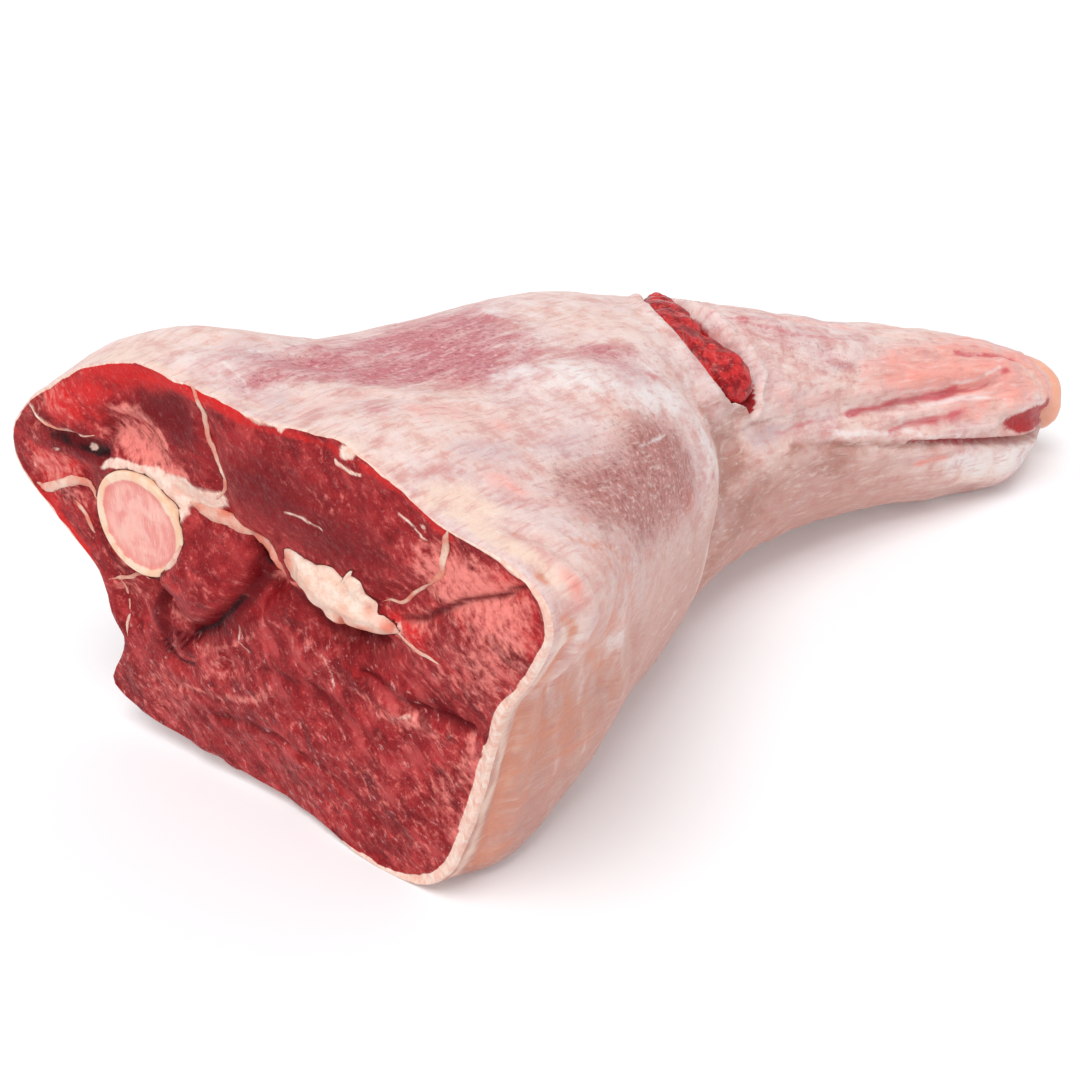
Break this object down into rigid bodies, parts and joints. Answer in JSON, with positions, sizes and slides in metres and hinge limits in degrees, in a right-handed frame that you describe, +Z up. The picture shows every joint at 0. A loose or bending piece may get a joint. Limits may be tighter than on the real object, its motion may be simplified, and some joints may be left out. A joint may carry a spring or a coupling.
{
  "type": "raw leg of lamb",
  "caption": "Raw leg of lamb, cut across the thigh, tapering to the shank and lying on its side, with the thigh bone and fat showing in the cut.",
  "frame": {"origin": "middle of the leg's box, at the height of the surface it lies on", "axes": "+X along the leg from the cut across the thigh to the shank, +Z up, +Y towards the far side of the leg"},
  "size_m": [0.3604, 0.1944, 0.1196],
  "materials": {
    "meat": "moist raw meat, deep red where cut, under a pale pink skin of fat and sinew",
    "fat": "soft creamy white fat with a satin shine",
    "bone": "moist cream bone with pink marrow where sawn"
  },
  "bodies": {
    "root": {"meat": "meat", "fat_cover": "fat", "fat_lump": "fat", "thigh_bone": "bone", "shank_bone": "bone"}
  },
  "joints": []
}
